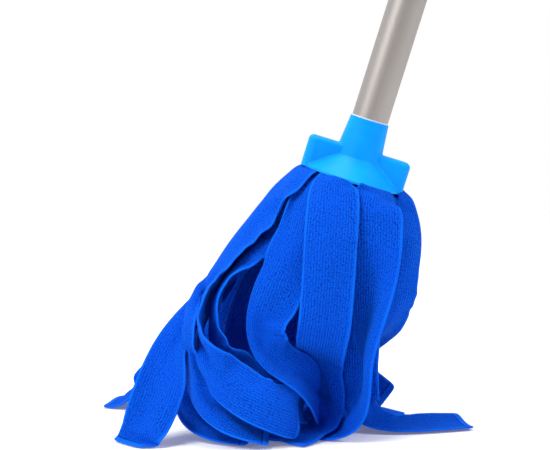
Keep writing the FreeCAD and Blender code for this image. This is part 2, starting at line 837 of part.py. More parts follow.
def make_strips():
    strips = []
    outer_pitch = 360.0 / len(OUTER_TURNS)
    inner_pitch = 360.0 / (len(INNER_TURNS) + 1)
    ring_room = outer_pitch * GATHERED_SHARE
    for number, turn in enumerate(OUTER_TURNS):
        start = OUTER_START + number * outer_pitch
        strips.append(make_strip("outer_strip_%d" % (number + 1), BELL, start, turn, ring_room, 2))
    for number, turn in enumerate(MIDDLE_TURNS):
        start = OUTER_START + (number + 0.5) * outer_pitch
        strips.append(make_strip("middle_strip_%d" % (number + 1), BELL, start, turn, ring_room, 1))
    for number, turn in enumerate(INNER_TURNS):
        start = INNER_START + number * inner_pitch
        strips.append(make_strip("inner_strip_%d" % (number + 1), BELL, start, turn, ring_room, 0))
    strips.append(make_core_strip(ring_room))
    return strips


# ---------------------------------------------------------------- the whole mop

def check(pieces):
    """Stops before anything is written if an object failed or a shape isn't sound."""
    for item in document.Objects:
        if "Invalid" in item.State or "Error" in item.State:
            raise RuntimeError("%s failed: %s" % (item.Label, item.State))
    for piece in pieces:
        shape = piece.Shape
        if shape.isNull() or not shape.isValid():
            raise RuntimeError(piece.Label + " has no sound shape")
        if len(shape.Solids) != 1 or shape.Volume <= 0:
            raise RuntimeError(piece.Label + " isn't one solid")


def main():
    pieces = [
        make_socket_cap(),
        make_thread_plug(),
        make_thread_washer(),
        make_handle_tube(),
        make_hang_cap(),
        make_retainer_cone(),
        make_screw_washer(),
        make_centre_screw(),
    ]
    pieces += make_strips()
    document.recompute()
    check(pieces)
    os.makedirs("parts", exist_ok=True)
    for piece in pieces:
        piece.Shape.exportStep("parts/%s.step" % piece.Label)


main()
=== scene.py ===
import json
import math

import bpy
import numpy
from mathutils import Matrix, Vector


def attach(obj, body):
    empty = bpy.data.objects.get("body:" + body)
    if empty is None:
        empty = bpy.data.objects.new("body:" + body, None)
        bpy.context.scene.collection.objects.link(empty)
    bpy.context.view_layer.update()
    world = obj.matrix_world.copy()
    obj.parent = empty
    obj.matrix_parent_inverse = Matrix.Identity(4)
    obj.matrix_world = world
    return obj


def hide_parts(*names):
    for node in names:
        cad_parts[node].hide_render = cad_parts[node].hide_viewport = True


# The visual model of a strip mop. The rigid pieces are the CAD nodes with their own materials.
# Every cloth strip is draped here by cloth simulation and stands for its CAD solid.
#
# The strips are laid out in millimetres in the row frame: z is up from the floor, the handle
# leans towards +x, and -y is the front.

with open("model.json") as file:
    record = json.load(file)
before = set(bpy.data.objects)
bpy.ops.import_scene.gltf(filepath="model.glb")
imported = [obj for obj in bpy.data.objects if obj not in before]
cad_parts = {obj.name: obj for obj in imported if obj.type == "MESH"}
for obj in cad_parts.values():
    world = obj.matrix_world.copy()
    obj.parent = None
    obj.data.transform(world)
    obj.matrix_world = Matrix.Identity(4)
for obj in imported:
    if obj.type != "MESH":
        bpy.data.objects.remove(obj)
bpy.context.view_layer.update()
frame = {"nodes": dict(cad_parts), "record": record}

MM = 0.001
record = frame["record"]
axis = Vector(record["behaviour"]["joints"][0]["axis"])
LEAN = math.atan2(axis.x, axis.z)
HEAD_BODY = "head"

# ---------------------------------------------------------------- where each strip lies

STRIP_WIDTH = 36.0
STRIP_LENGTH = 258.0
STRIP_THICKNESS = 1.6
ROWS = 50
COLUMNS = 7
# the part of each strip that the clamp hides
HELD_LENGTH = 14.0
# from the cap's throat to its mouth, as radius and height, for the innermost layer
CLAMP_LINE = [(18.6, 184.6), (22.2, 181.7), (26.5, 178.2), (30.0, 174.6)]
# how the strips hang before they are set down, as radius and height
HANGING_LINE = [
    (46, 162), (56, 143), (60, 114), (59, 83), (56, 50), (54, 16),
    (53, -20), (53, -60), (53, -100),
]
LAYER_PITCH = 2.2
OUTER_COUNT = 7
INNER_COUNT = 5
OUTER_START = -111.0
INNER_START = 162.0
CORE_AZIMUTH = 90.0
# the share of a ring's spacing that a gathered strip fills, and the radius where it is full width
GATHERED_SHARE = 0.96
FULL_WIDTH_RADIUS = 70.0

# Where each strip is led as the mop is set down and drawn to the right: the middle line's place
# in millimetres, then the way its outer face looks, as azimuth and rise in degrees. A separate
# program wrote this list. The places of the strips that show from the front and the left were
# worked out from the front view, and the others were chosen.
GUIDES = {
    "outer_strip_1": [
        (40, -41, 162, -90, 0),
        (38, -51, 137, -90, 0),
        (36, -54, 104, -90, 0),
        (34, -48, 77, -95, -15),
        (31, -32, 59, -105, -50),
        (32, -10, 44, -105, -25),
        (35, -8, 22, -92, 0),
        (32, -14, 4, -90, 45),
        (20, -30, 2, -90, 85),
    ],
    "outer_strip_2": [
        (67, -38, 162, -85, 0),
        (68, -44, 136, -100, 0),
        (67, -44, 109, -120, 0),
        (65, -42, 89, -140, 0),
        (62, -40, 72, -155, 0),
        (61, -38, 55, -168, 0),
        (62, -36, 40, -172, 5),
        (60, -34, 23, -160, 15),
        (53, -30, 10, -140, 45),
        (38, -22, 2, -125, 75),
        (20, -14, 2, -100, 85),
    ],
    "outer_strip_3": [
        (78, -12, 160, -55, 0),
        (84, -14, 148, -50, 0),
        (90, -15, 132, -50, 0),
        (85, -16, 113, -60, 0),
        (83, -16, 95, -65, 0),
        (79, -10, 80, -65, -20),
        (73, 4, 66, -75, -50),
        (65, 22, 56, -85, -65),
        (54, 42, 46, -90, -45),
        (48, 50, 24, -90, -20),
        (38, 56, 4, -90, 60),
        (18, 60, 2, -90, 90),
    ],
    "outer_strip_4": [
        (80, 24, 155, 30, 0),
        (83, 34, 121, 45, 0),
        (72, 42, 88, 55, -25),
        (51, 50, 62, 65, -45),
        (37, 58, 32, 75, -15),
        (22, 66, 6, 80, 30),
        (-2, 82, 2, 90, 85),
    ],
    "outer_strip_5": [
        (34, 48, 152, 105, 15),
        (4, 58, 116, 110, 20),
        (-34, 64, 80, 120, 25),
        (-66, 68, 52, 150, 25),
        (-90, 70, 30, 190, 20),
        (-100, 66, 16, 215, 10),
        (-92, 58, 6, 250, 30),
        (-70, 50, 3, 260, 80),
    ],
    "outer_strip_6": [
        (8, 14, 163, -155, 30),
        (-7, 12, 145, -155, 35),
        (-18, 8, 126, -155, 30),
        (-29, 2, 108, -152, 30),
        (-44, -6, 90, -148, 30),
        (-58, -16, 74, -138, 25),
        (-67, -26, 59, -120, 20),
        (-71, -38, 45, -102, 15),
        (-76, -48, 30, -94, 25),
        (-83, -50, 14, -90, 42),
        (-89, -50, 2, -90, 55),
    ],
    "outer_strip_7": [
        (5, -12, 159, -150, 28),
        (-14, -16, 138, -158, 28),
        (-31, -22, 118, -162, 22),
        (-40, -27, 104, -168, 15),
        (-46, -33, 92, -172, 10),
        (-49, -40, 78, -172, 0),
        (-46, -48, 62, -160, 0),
        (-38, -56, 48, -125, 15),
        (-22, -61, 39, -100, 28),
        (-6, -63, 32, -90, 26),
        (7, -60, 27, -80, 15),
        (15, -50, 22, -50, 5),
        (18, -36, 17, -15, 0),
        (18, -20, 12, 10, 0),
    ],
    "middle_strip_1": [
        (55, -34, 158, -90, 0),
        (56, -36, 122, -90, 0),
        (56, -28, 80, -95, 0),
        (54, -14, 40, -105, 5),
        (60, -10, 11, -115, 40),
        (85, -8, 3, -90, 80),
        (114, 0, 2, -90, 85),
        (139, 8, 2, -90, 90),
    ],
    "middle_strip_2": [
        (70, -12, 158, -55, 0),
        (72, -14, 126, -60, 0),
        (66, -8, 92, -70, -10),
        (56, 0, 58, -80, -15),
        (48, 6, 28, -85, 15),
        (34, 12, 6, -90, 70),
        (8, 16, 2, -90, 90),
    ],
    "middle_strip_3": [
        (74, 10, 151, 20, 0),
        (76, 14, 118, 20, 0),
        (66, 22, 86, 30, -10),
        (48, 32, 58, 60, -20),
        (22, 38, 40, 88, 0),
        (11, 34, 38, 180, 0),
        (28, 26, 42, -90, 0),
        (50, 20, 33, -88, 0),
        (72, 15, 14, -80, 5),
    ],
    "middle_strip_4": [
        (46, 44, 150, 80, 0),
        (8, 44, 116, 90, 0),
        (-26, 40, 84, 90, 0),
        (-46, 36, 52, 90, 0),
        (-56, 32, 22, 90, 0),
        (-50, 24, 4, 90, 60),
        (-20, 14, 2, 90, 90),
    ],
    "middle_strip_5": [
        (24, 34, 150, 125, 25),
        (-14, 42, 108, 130, 30),
        (-54, 52, 62, 135, 38),
        (-88, 62, 20, 140, 50),
        (-106, 68, 4, 140, 82),
        (-138, 78, 2, 140, 90),
    ],
    "middle_strip_6": [
        (-2, 4, 153, -160, 25),
        (-20, 0, 132, -165, 25),
        (-36, -8, 114, -170, 20),
        (-48, -16, 100, -174, 15),
        (-55, -24, 89, -178, 5),
        (-57, -32, 73, -178, 0),
        (-57, -38, 59, -170, 0),
        (-52, -46, 44, -150, 10),
        (-44, -52, 32, -130, 25),
        (-29, -54, 22, -105, 45),
        (-7, -48, 11, -92, 60),
        (16, -38, 2, -90, 70),
    ],
    "middle_strip_7": [
        (21, -30, 161, -110, 0),
        (18, -38, 138, -110, 5),
        (9, -43, 116, -110, 5),
        (2, -45, 101, -112, 0),
        (-6, -46, 86, -112, 5),
        (-8, -46, 71, -112, 20),
        (-3, -48, 60, -100, 30),
        (8, -46, 52, -85, 40),
        (20, -40, 46, -65, 40),
        (28, -30, 36, -40, 25),
        (32, -16, 21, -20, 5),
    ],
    "inner_strip_1": [
        (-3, 6, 139, -150, 10),
        (-22, 2, 115, -160, 10),
        (-39, -4, 95, -165, 10),
        (-51, -12, 73, -170, 10),
        (-60, -20, 50, -165, 15),
        (-62, -28, 30, -145, 30),
        (-54, -34, 17, -120, 45),
        (-34, -36, 6, -95, 75),
        (-8, -40, 2, -90, 85),
        (16, -46, 2, -85, 88),
    ],
    "inner_strip_2": [
        (13, -18, 151, -130, 5),
        (-7, -20, 133, -150, 10),
        (-24, -22, 117, -165, 10),
        (-36, -28, 103, -172, 5),
        (-41, -32, 90, -172, 0),
        (-40, -34, 73, -165, 0),
        (-35, -38, 56, -145, 5),
        (-23, -42, 44, -110, 20),
        (-4, -42, 35, -95, 25),
        (12, -36, 31, -80, 20),
        (21, -24, 26, -45, 15),
        (24, -8, 20, -10, 5),
    ],
    "inner_strip_3": [
        (46, -20, 150, -90, 0),
        (40, -18, 112, -90, 0),
        (36, -12, 77, -90, 0),
        (38, -4, 44, -90, 0),
        (46, 4, 16, -90, 30),
        (56, 16, 3, -90, 80),
    ],
    "inner_strip_4": [
        (58, 10, 150, 20, 0),
        (40, 16, 114, 60, 0),
        (14, 20, 80, 90, 0),
        (-6, 20, 48, 90, 0),
        (-16, 18, 20, 90, 0),
        (-12, 12, 3, 90, 60),
        (14, 4, 2, 90, 90),
    ],
    "core_strip": [
        (24, 8, 153, -100, 0),
        (6, 4, 120, -110, 0),
        (-12, 0, 88, -115, 0),
        (-22, -6, 58, -110, 0),
        (-16, -8, 30, -100, 10),
        (2, 0, 9, -90, 60),
        (26, 8, 2, -90, 90),
    ],
}

# the length of each strip that stays as it hangs, before its guide starts
HANGS_ALONG = 24.0
# soft lengthwise folds: their depth, their pitch across a strip and how slowly they wander along it
FOLD_DEPTH = 2.6
FOLD_PITCH = 38.0
FOLD_RUN = 210.0
FOLD_PHASE_STEP = 0.38
FOLDS_FROM = 24.0
FOLDS_GROW = 70.0
FLOOR_CLEARANCE = 1.0


def smooth(value):
    value = max(0.0, min(1.0, value))
    return value * value * (3 - 2 * value)


def strip_places():
    """Each strip's name, azimuth at the clamp in radians, and layer from the inside."""
    places = []
    pitch = 360.0 / OUTER_COUNT
    for number in range(OUTER_COUNT):
        places.append(("outer_strip_%d" % (number + 1), OUTER_START + number * pitch, 2))
    for number in range(OUTER_COUNT):
        places.append(("middle_strip_%d" % (number + 1), OUTER_START + (number + 0.5) * pitch, 1))
    for number in range(INNER_COUNT - 1):
        azimuth = INNER_START + number * 360.0 / INNER_COUNT
        places.append(("inner_strip_%d" % (number + 1), azimuth, 0))
    places.append(("core_strip", CORE_AZIMUTH, 0))
    return [(name, math.radians(azimuth), layer) for name, azimuth, layer in places]


def to_row(radius, azimuth, height):
    """A place round the handle's axis, at a height along it, in the row frame."""
    centre = numpy.array([math.sin(LEAN), 0.0, math.cos(LEAN)]) * height
    x = radius * math.cos(azimuth)
    y = radius * math.sin(azimuth)
    return centre + numpy.array([x * math.cos(LEAN), y, -x * math.sin(LEAN)])


def curve_through(points, samples=400):
    """A smooth path through points, each a row of numbers whose first three or two are a place."""
    points = numpy.array(points, float)
    place = points[:, :3]
    knots = numpy.concatenate([[0], numpy.cumsum(
        numpy.linalg.norm(numpy.diff(place, axis=0), axis=1) ** 0.5
    )])
    slopes = numpy.gradient(points, knots, axis=0)
    path = []
    for knot in numpy.linspace(0, knots[-1], samples):
        start = min(numpy.searchsorted(knots, knot, side="right") - 1, len(points) - 2)
        width = knots[start + 1] - knots[start]
        share = (knot - knots[start]) / width
        cube, square = share ** 3, share ** 2
        path.append(
            (2 * cube - 3 * square + 1) * points[start]
            + (cube - 2 * square + share) * width * slopes[start]
            + (3 * square - 2 * cube) * points[start + 1]
            + (cube - square) * width * slopes[start + 1]
        )
    return numpy.array(path)


def run_along(path, columns=3):
    """The length travelled at each sample of a path."""
    strides = numpy.linalg.norm(numpy.diff(path[:, :columns], axis=0), axis=1)
    return numpy.concatenate([[0], numpy.cumsum(strides)])


def hanging_grid(azimuth, layer):
    """A strip as it hangs freely, as ROWS by COLUMNS places in millimetres."""
    room = 2 * math.pi / OUTER_COUNT * GATHERED_SHARE
    line = curve_through([list(point) for point in CLAMP_LINE + HANGING_LINE])
    run = run_along(line, 2)
    grid = numpy.zeros((ROWS, COLUMNS, 3))
    for row, length in enumerate(numpy.linspace(0, STRIP_LENGTH, ROWS)):
        radius = numpy.interp(length, run, line[:, 0])
        height = numpy.interp(length, run, line[:, 1])
        ahead_radius = numpy.interp(length + 1, run, line[:, 0])
        ahead_height = numpy.interp(length + 1, run, line[:, 1])
        tangent = numpy.array([ahead_radius - radius, ahead_height - height])
        tangent /= numpy.linalg.norm(tangent)
        outwards = layer * LAYER_PITCH
        radius, height = radius - tangent[1] * outwards, height + tangent[0] * outwards
        half = STRIP_WIDTH / 2
        if radius < FULL_WIDTH_RADIUS:
            half = min(half, radius * math.sin(room / 2))
        for column in range(COLUMNS):
            across = 2 * column / (COLUMNS - 1) - 1
            grid[row, column] = to_row(radius, azimuth + across * half / radius, height)
    return grid


def facing(azimuth, rise):
    """The direction with an azimuth and a rise in degrees, as a list."""
    azimuth, rise = math.radians(azimuth), math.radians(rise)
    return [
        math.cos(azimuth) * math.cos(rise), math.sin(azimuth) * math.cos(rise), math.sin(rise)
    ]


def guided_grid(name, hanging):
    """A strip led along its guide: it starts as it hangs, and keeps its own length and width."""
    spacing = STRIP_LENGTH / (ROWS - 1)
    kept = int(HANGS_ALONG / spacing)
    axis_line = numpy.array([math.sin(LEAN), 0.0, math.cos(LEAN)])
    points = []
    for row in range(0, kept + 1, 2):
        middle = hanging[row].mean(axis=0)
        along = hanging[row + 1].mean(axis=0) - middle
        outwards = numpy.cross(hanging[row, -1] - hanging[row, 0], along)
        outwards /= numpy.linalg.norm(outwards)
        if outwards @ (middle - axis_line * (middle @ axis_line)) < 0:
            outwards = -outwards
        points.append(list(middle) + list(outwards))
    for x, y, z, azimuth, rise in GUIDES[name]:
        points.append([x, y, z] + facing(azimuth, rise))
    path = curve_through(points)
    run = run_along(path)
    grid = numpy.array(hanging)
    phase = list(GUIDES).index(name) * FOLD_PHASE_STEP
    before = hanging[kept - 2, -1] - hanging[kept - 2, 0]
    for row in range(kept - 1, ROWS):
        length = row * spacing
        inside = min(length, run[-1] - 1)
        here, ahead = (
            numpy.array([numpy.interp(place, run, path[:, number]) for number in range(6)])
            for place in (inside, inside + 1)
        )
        along = ahead[:3] - here[:3]
        along /= numpy.linalg.norm(along)
        sideways = numpy.cross(here[3:], along)
        sideways /= numpy.linalg.norm(sideways)
        if sideways @ before < 0:
            sideways = -sideways
        before = sideways
        half = numpy.linalg.norm(hanging[row, -1] - hanging[row, 0]) / 2
        middle = here[:3] + along * (length - inside)
        outwards = numpy.cross(along, sideways)
        depth = FOLD_DEPTH * smooth((length - FOLDS_FROM) / FOLDS_GROW)
        for column in range(COLUMNS):
            across = 2 * column / (COLUMNS - 1) - 1
            turn = length / FOLD_RUN + half * across / FOLD_PITCH + phase
            fold = outwards * depth * math.sin(2 * math.pi * turn)
            grid[row, column] = middle + sideways * half * across + fold
    grid[:, :, 2] = numpy.maximum(grid[:, :, 2], FLOOR_CLEARANCE)
    return grid


# ---------------------------------------------------------------- cloth simulation

# The simulation works at ten times the real size, where its settings behave well.
UNITS_PER_MM = 0.01
# the frames of the fall: the strips follow their guides down, are held there, and are then held
# much more loosely while they settle; the hold is never let go
LEAD_FROM = 4
LOWER_FROM = 6
LEAD_TO = 40
HOLD_TO = 46
LOOSE_BY = 60
FRAMES = 74
# how far above the floor and how far to the left the mop starts, in millimetres
LIFT = 78.0
DRAW = 25.0
GROUND_REACH = 20.0
LEAD_WEIGHT = 0.9
LEAD_STIFFNESS = 5.0
LOOSE_STIFFNESS = 0.5


def grid_faces(base):
    """Quads between neighbouring rows of one strip."""
    faces = []
    for row in range(ROWS - 1):
        for column in range(COLUMNS - 1):
            corner = base + row * COLUMNS + column
            faces.append((corner, corner + 1, corner + 1 + COLUMNS, corner + COLUMNS))
    return faces


def link(obj):
    bpy.context.scene.collection.objects.link(obj)
    return obj


def drape(hanging, guided):
    """Lowers all strips together onto the floor while they are led along their guides."""
    names = list(hanging)
    per_strip = ROWS * COLUMNS
    start = numpy.concatenate([hanging[name].reshape(-1, 3) for name in names]) * UNITS_PER_MM
    goal = numpy.concatenate([guided[name].reshape(-1, 3) for name in names]) * UNITS_PER_MM
    faces = []
    for number in range(len(names)):
        faces += grid_faces(number * per_strip)
    mesh = bpy.data.meshes.new("drape")
    mesh.from_pydata([tuple(place) for place in start], [], faces)
    cloth = link(bpy.data.objects.new("drape", mesh))
    cloth.shape_key_add(name="Basis")
    lead = cloth.shape_key_add(name="lead")
    lead.data.foreach_set("co", goal.ravel())
    lead.value = 0.0
    lead.keyframe_insert("value", frame=LEAD_FROM)
    lead.value = 1.0
    lead.keyframe_insert("value", frame=LEAD_TO)
    held = cloth.vertex_groups.new(name="held")
    held_rows = int(HELD_LENGTH / (STRIP_LENGTH / (ROWS - 1))) + 1
    for number in range(len(names)):
        base = number * per_strip
        border = base + held_rows * COLUMNS
        held.add(list(range(base, border)), 1.0, "REPLACE")
        held.add(list(range(border, base + per_strip)), LEAD_WEIGHT, "REPLACE")

    reach = GROUND_REACH
    corners = [(-reach, -reach, 0), (reach, -reach, 0), (reach, reach, 0), (-reach, reach, 0)]
    ground_mesh = bpy.data.meshes.new("ground")
    ground_mesh.from_pydata(corners, [], [(0, 1, 2, 3)])
    ground = link(bpy.data.objects.new("ground", ground_mesh))
    ground.modifiers.new("Collision", "COLLISION")
    ground.collision.thickness_outer = 0.008
    ground.collision.cloth_friction = 60
    ground.collision.damping = 0.6

    modifier = cloth.modifiers.new("Cloth", "CLOTH")
    settings = modifier.settings
    settings.quality = 7
    settings.mass = 0.3
    settings.tension_stiffness = 25
    settings.compression_stiffness = 25
    settings.shear_stiffness = 10
    settings.bending_model = "ANGULAR"
    settings.bending_stiffness = 6
    settings.tension_damping = 5
    settings.compression_damping = 5
    settings.shear_damping = 5
    settings.bending_damping = 0.8
    settings.air_damping = 1.5
    settings.vertex_group_mass = held.name
    contact = modifier.collision_settings
    contact.distance_min = 0.008
    contact.use_self_collision = True
    contact.self_distance_min = 0.019
    contact.collision_quality = 3
    contact.self_friction = 8
    contact.friction = 60
    modifier.point_cache.frame_start = 1
    modifier.point_cache.frame_end = FRAMES
    stiffness = 'modifiers["Cloth"].settings.pin_stiffness'
    settings.pin_stiffness = LEAD_STIFFNESS
    cloth.keyframe_insert(stiffness, frame=HOLD_TO)
    settings.pin_stiffness = LOOSE_STIFFNESS
    cloth.keyframe_insert(stiffness, frame=LOOSE_BY)
    settings.pin_stiffness = LEAD_STIFFNESS

    cloth.location = (-DRAW * UNITS_PER_MM, 0, LIFT * UNITS_PER_MM)
    cloth.keyframe_insert("location", frame=LOWER_FROM)
    cloth.location = (0, 0, 0)
    cloth.keyframe_insert("location", frame=LEAD_TO)

    scene = bpy.context.scene
    scene.frame_start = 1
    scene.frame_end = FRAMES
    for number in range(1, FRAMES + 1):
        scene.frame_set(number)
    settled = cloth.evaluated_get(bpy.context.evaluated_depsgraph_get())
    result = settled.to_mesh()
    places = numpy.zeros(len(result.vertices) * 3)
    result.vertices.foreach_get("co", places)
    places = places.reshape(len(names), ROWS, COLUMNS, 3) / UNITS_PER_MM
    settled.to_mesh_clear()
    for obj in (cloth, ground):
        data = obj.data
        bpy.data.objects.remove(obj)
        bpy.data.meshes.remove(data)
    scene.frame_set(1)
    return {name: places[number] for number, name in enumerate(names)}


# ---------------------------------------------------------------- materials

KNIT_UV = "knit"


class Graph:
    """A short way to write a material's nodes."""

    def __init__(self, name):
        self.material = bpy.data.materials.new(name)
        self.material.use_nodes = True
        self.tree = self.material.node_tree
        self.shader = self.tree.nodes["Principled BSDF"]

    def node(self, kind, **settings):
        made = self.tree.nodes.new("ShaderNode" + kind)
        for key, value in settings.items():
            setattr(made, key, value)
        return made

    def feed(self, socket, value):
        if isinstance(value, bpy.types.NodeSocket):
            self.tree.links.new(value, socket)
        else:
            socket.default_value = value

    def calc(self, operation, first, second=0.0):
        made = self.node("Math", operation=operation)
        self.feed(made.inputs[0], first)
        self.feed(made.inputs[1], second)
        return made.outputs[0]

    def ramp(self, value, low, high, to_low=0.0, to_high=1.0):
        made = self.node("MapRange", interpolation_type="SMOOTHSTEP")
        for socket, number in zip(made.inputs[:5], (value, low, high, to_low, to_high)):
            self.feed(socket, number)
        return made.outputs[0]

    def blend(self, share, first, second):
        made = self.node("Mix", data_type="FLOAT")
        self.feed(made.inputs[0], share)
        self.feed(made.inputs[2], first)
        self.feed(made.inputs[3], second)
        return made.outputs[0]

    def tint(self, share, first, second):
        made = self.node("Mix", data_type="RGBA")
        self.feed(made.inputs[0], share)
        self.feed(made.inputs[6], first)
        self.feed(made.inputs[7], second)
        return made.outputs[2]

    def noise(self, place, scale, detail=2.0, roughness=0.5):
        made = self.node("TexNoise")
        self.feed(made.inputs["Vector"], place)
        made.inputs["Scale"].default_value = scale
        made.inputs["Detail"].default_value = detail
        made.inputs["Roughness"].default_value = roughness
        return made.outputs["Fac"]

    def mapped(self, place, scale=(1, 1, 1), turn=(0, 0, 0)):
        made = self.node("Mapping")
        self.feed(made.inputs["Vector"], place)
        made.inputs["Scale"].default_value = scale
        made.inputs["Rotation"].default_value = turn
        return made.outputs["Vector"]

    def object_place(self):
        return self.node("TexCoord").outputs["Object"]

    def bump(self, height, depth, strength=1.0):
        made = self.node("Bump")
        made.inputs["Strength"].default_value = strength
        made.inputs["Distance"].default_value = depth
        self.feed(made.inputs["Height"], height)
        self.feed(self.shader.inputs["Normal"], made.outputs["Normal"])

    def set(self, **values):
        for key, value in values.items():
            self.feed(self.shader.inputs[key.replace("_", " ")], value)
        return self.material


def microfibre():
    """Looped knit with fine wales along the strip, stitched edges and a turned hem, with painted shade
    in its hollows and painted highlight on its loop tops.
    """
    wale_pitch, loop_width, loop_length = 1.9, 1.0, 1.25
    edge_band, hem_band, stitch_pitch = 2.0, 5.0, 1.5
    wale_height, loop_height, fluff_height = 0.24, 0.62, 0.30
    graph = Graph("microfibre_knit")
    uv = graph.node("UVMap", uv_map=KNIT_UV).outputs["UV"]
    parts = graph.node("SeparateXYZ")
    graph.feed(parts.inputs[0], uv)
    across, along = parts.outputs[0], parts.outputs[1]
    wander = graph.calc("MULTIPLY", graph.noise(uv, 0.12), 1.6)
    phase = graph.calc("MULTIPLY", graph.calc("ADD", across, wander), 2 * math.pi / wale_pitch)
    wale = graph.calc("MULTIPLY_ADD", graph.calc("COSINE", phase), 0.5)
    wale.node.inputs[2].default_value = 0.5
    cells = graph.node("TexVoronoi", voronoi_dimensions="2D")
    graph.feed(cells.inputs["Vector"], graph.mapped(uv, (1 / loop_width, 1 / loop_length, 1)))
    cells.inputs["Scale"].default_value = 1.0
    loops = graph.calc("SUBTRACT", 1.0, cells.outputs["Distance"])
    fluff = graph.noise(uv, 1.9, 3.0, 0.65)
    wales = graph.calc("MULTIPLY", wale, wale_height)
    pile = graph.calc("ADD", wales, graph.calc("MULTIPLY", loops, loop_height))
    pile = graph.calc("ADD", pile, graph.calc("MULTIPLY", fluff, fluff_height))
    from_side = graph.calc("MINIMUM", across, graph.calc("SUBTRACT", STRIP_WIDTH, across))
    from_end = graph.calc("SUBTRACT", STRIP_LENGTH, along)
    side_band = graph.ramp(from_side, edge_band - 0.5, edge_band, 1.0, 0.0)
    end_band = graph.ramp(from_end, hem_band - 0.6, hem_band, 1.0, 0.0)
    band = graph.calc("MAXIMUM", side_band, end_band)
    slant = graph.calc("ADD", along, graph.calc("MULTIPLY", across, 0.6))
    stitch = graph.calc("COSINE", graph.calc("MULTIPLY", slant, 2 * math.pi / stitch_pitch))
    stitched = graph.calc("MULTIPLY_ADD", stitch, 0.14)
    stitched.node.inputs[2].default_value = 0.86
    height = graph.blend(band, pile, stitched)
    seam = graph.calc("ABSOLUTE", graph.calc("SUBTRACT", from_end, hem_band))
    furrow = graph.ramp(seam, 0.0, 0.8, 0.6, 0.0)
    height = graph.calc("SUBTRACT", height, furrow)
    patches = graph.noise(graph.object_place(), 26.0, 2.0)
    # painted shade and highlight: the colour follows the pile's height, so the hollows between loops
    # and wales and the hem's seam furrow are painted darker, and the loop tops and stitches lighter
    painted_pile_shading = graph.ramp(height, 0.25, 1.05)
    colour = graph.tint(painted_pile_shading, (0.0004, 0.022, 0.36, 1), (0.001, 0.132, 0.86, 1))
    colour = graph.tint(graph.calc("MULTIPLY", band, 0.22), colour, (0.002, 0.170, 0.92, 1))
    colour = graph.tint(graph.ramp(patches, 0.35, 0.7, 0.0, 0.35), colour, (0.0006, 0.065, 0.62, 1))
    graph.bump(height, 0.9 * MM, 0.85)
    return graph.set(
        Base_Color=colour, Roughness=graph.blend(band, 0.95, 0.8), Sheen_Weight=0.22,
        Sheen_Roughness=0.5, Sheen_Tint=(0.02, 0.35, 1.0, 1), Specular_IOR_Level=0.06,
    )


def cap_plastic():
    """Satin moulded plastic: faint flow clouds in the colour and a fine moulded grain."""
    graph = Graph("cap_plastic_satin")
    place = graph.object_place()
    flow = graph.noise(place, 38.0, 3.0)
    worn = graph.noise(place, 210.0, 4.0, 0.6)
    colour = graph.tint(
        graph.ramp(flow, 0.35, 0.65), (0.0004, 0.27, 0.84, 1), (0.0008, 0.32, 0.91, 1)
    )
    grain = graph.noise(place, 1500.0, 2.0)
    graph.bump(graph.calc("ADD", grain, graph.calc("MULTIPLY", worn, 0.6)), 0.06 * MM, 0.35)
    return graph.set(
        Base_Color=colour, Roughness=graph.ramp(worn, 0.3, 0.75, 0.42, 0.55),
        Specular_IOR_Level=0.08, Subsurface_Weight=0.12,
        Subsurface_Radius=(0.002, 0.004, 0.008), IOR=1.49,
    )


def plug_plastic():
    graph = Graph("plug_plastic_pale")
    place = graph.object_place()
    cloud = graph.noise(place, 60.0, 3.0)
    colour = graph.tint(cloud, (0.66, 0.72, 0.78, 1), (0.80, 0.84, 0.88, 1))
    graph.bump(graph.noise(place, 1200.0, 2.0), 0.05 * MM, 0.4)
    return graph.set(Base_Color=colour, Roughness=graph.ramp(cloud, 0.3, 0.7, 0.42, 0.55), IOR=1.49)


def washer_rubber():
    graph = Graph("washer_rubber_matt")
    place = graph.object_place()
    bloom = graph.noise(place, 240.0, 3.0)
    colour = graph.tint(bloom, (0.020, 0.020, 0.022, 1), (0.045, 0.045, 0.048, 1))
    graph.bump(graph.noise(place, 900.0, 2.0), 0.08 * MM, 0.5)
    return graph.set(Base_Color=colour, Roughness=graph.ramp(bloom, 0.3, 0.7, 0.7, 0.88))


def tube_metal():
    """Satin drawn tube: fine lines along its length, and faint handling marks round it."""
    graph = Graph("tube_metal_satin")
    upright = graph.mapped(graph.object_place(), turn=(0, -LEAN, 0))
    drawn = graph.noise(graph.mapped(upright, (2600, 2600, 9)), 1.0, 3.0, 0.6)
    clouds = graph.noise(graph.mapped(upright, (60, 60, 7)), 1.0, 3.0)
    scuffs = graph.noise(graph.mapped(upright, (240, 240, 1500)), 1.0, 2.0)
    colour = graph.tint(drawn, (0.31, 0.285, 0.27, 1), (0.40, 0.37, 0.355, 1))
    colour = graph.tint(graph.ramp(clouds, 0.4, 0.7, 0.0, 0.4), colour, (0.44, 0.41, 0.40, 1))
    fine_lines = graph.ramp(drawn, 0.3, 0.7, 0.42, 0.52)
    rough = graph.calc("ADD", fine_lines, graph.ramp(scuffs, 0.6, 0.8, 0.0, 0.08))
    graph.bump(drawn, 0.03 * MM, 0.5)
    return graph.set(Base_Color=colour, Metallic=0.85, Roughness=rough)


def screw_steel():
    graph = Graph("screw_steel_plated")
    place = graph.object_place()
    turned = graph.noise(graph.mapped(place, (900, 900, 2400)), 1.0, 3.0)
    colour = graph.tint(turned, (0.50, 0.50, 0.52, 1), (0.66, 0.66, 0.68, 1))
    graph.bump(turned, 0.03 * MM, 0.4)
    return graph.set(Base_Color=colour, Metallic=1.0, Roughness=graph.ramp(turned, 0.3, 0.7, 0.26, 0.4))


# the direction of the studio's bright walls, and the strengths of its dim and bright sides
BRIGHT_SIDE = (-0.6, 0.8, -0.5)
DIM_WALLS = 0.22
BRIGHT_WALLS = 1.0
# where the floor starts to glow as the studio does, and where it glows fully, in metres
PLAIN_FLOOR = 0.45
GLOWING_FLOOR = 1.5


